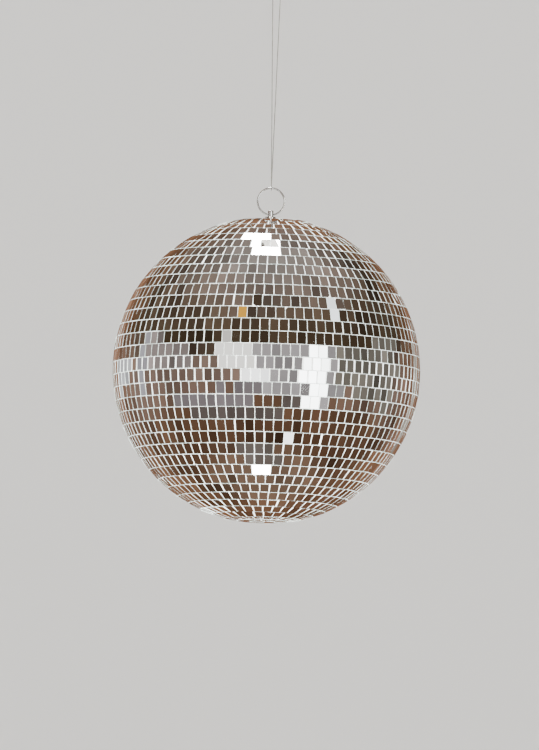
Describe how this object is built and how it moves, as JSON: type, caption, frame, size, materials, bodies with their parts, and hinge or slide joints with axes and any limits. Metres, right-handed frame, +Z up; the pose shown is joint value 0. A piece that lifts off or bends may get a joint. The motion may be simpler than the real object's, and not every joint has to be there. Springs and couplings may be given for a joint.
{
  "type": "mirror ball",
  "caption": "Mirror ball of glass tile strips on a hollow core, hanging by a swivel pin, split ring and doubled clear line from a ceiling hook.",
  "frame": {"origin": "middle of the ceiling plate's top face, where the object is fastened up", "axes": "+Z straight up, along the ball's spin axis; the split ring and the strands' spread lie in the XZ plane; +Y runs through the ring, away from the viewer"},
  "size_m": [0.3, 0.3, 0.5812],
  "materials": {
    "mirror_tile": "silvered float glass, polished, cut edges bright",
    "core_plastic": "moulded, off-white",
    "nickel_plate": "nickel plated, bright",
    "zinc_steel": "zinc plated, satin",
    "nylon_line": "clear monofilament",
    "white_enamel": "satin white enamel"
  },
  "bodies": {
    "ceiling": {"ceiling_plate": "white_enamel", "ceiling_hook": "nickel_plate", "ceiling_screw_left": "zinc_steel", "ceiling_screw_right": "zinc_steel"},
    "line": {"line_over_hook": "nylon_line", "line_strand_right": "nylon_line", "line_through_ring": "nylon_line", "line_strand_left": "nylon_line", "line_knot": "nylon_line"},
    "ring": {"split_ring": "nickel_plate"},
    "swivel": {"swivel_pin": "nickel_plate"},
    "ball": {"mirror_row_01": "mirror_tile", "mirror_row_02": "mirror_tile", "mirror_row_03": "mirror_tile", "mirror_row_04": "mirror_tile", "mirror_row_05": "mirror_tile", "mirror_row_06": "mirror_tile", "mirror_row_07": "mirror_tile", "mirror_row_08": "mirror_tile", "mirror_row_09": "mirror_tile", "mirror_row_10": "mirror_tile", "mirror_row_11": "mirror_tile", "mirror_row_12": "mirror_tile", "mirror_row_13": "mirror_tile", "mirror_row_14": "mirror_tile", "mirror_row_15": "mirror_tile", "mirror_row_16": "mirror_tile", "mirror_row_17": "mirror_tile", "mirror_row_18": "mirror_tile", "mirror_row_19": "mirror_tile", "mirror_row_20": "mirror_tile", "mirror_row_21": "mirror_tile", "mirror_row_22": "mirror_tile", "mirror_row_23": "mirror_tile", "mirror_row_24": "mirror_tile", "mirror_row_25": "mirror_tile", "mirror_row_26": "mirror_tile", "mirror_row_27": "mirror_tile", "mirror_row_28": "mirror_tile", "mirror_row_29": "mirror_tile", "mirror_row_30": "mirror_tile", "mirror_row_31": "mirror_tile", "mirror_row_32": "mirror_tile", "mirror_row_33": "mirror_tile", "mirror_row_34": "mirror_tile", "mirror_row_35": "mirror_tile", "mirror_row_36": "mirror_tile", "mirror_row_37": "mirror_tile", "core_shell_upper": "core_plastic", "core_shell_lower": "core_plastic", "core_joint_band": "core_plastic", "backing_plate": "zinc_steel", "hanger_bush": "nickel_plate", "bush_nut": "zinc_steel", "thrust_washer": "zinc_steel"}
  },
  "joints": [
    {"name": "line_swing", "type": "hinge", "parent": "ceiling", "child": "line", "pos_m": [0, 0, -0.04], "axis": [0, 1, 0], "range_deg": [-30, 30]},
    {"name": "ring_swing", "type": "hinge", "parent": "line", "child": "ring", "pos_m": [0, 0, -0.238], "axis": [1, 0, 0], "range_deg": [-20, 20]},
    {"name": "ring_flop", "type": "hinge", "parent": "ring", "child": "swivel", "pos_m": [0, 0, -0.2642], "axis": [1, 0, 0], "range_deg": [-85, 85]},
    {"name": "ball_spin", "type": "hinge", "parent": "swivel", "child": "ball", "pos_m": [0, 0, -0.4166], "axis": [0, 0, 1], "continuous": true}
  ]
}
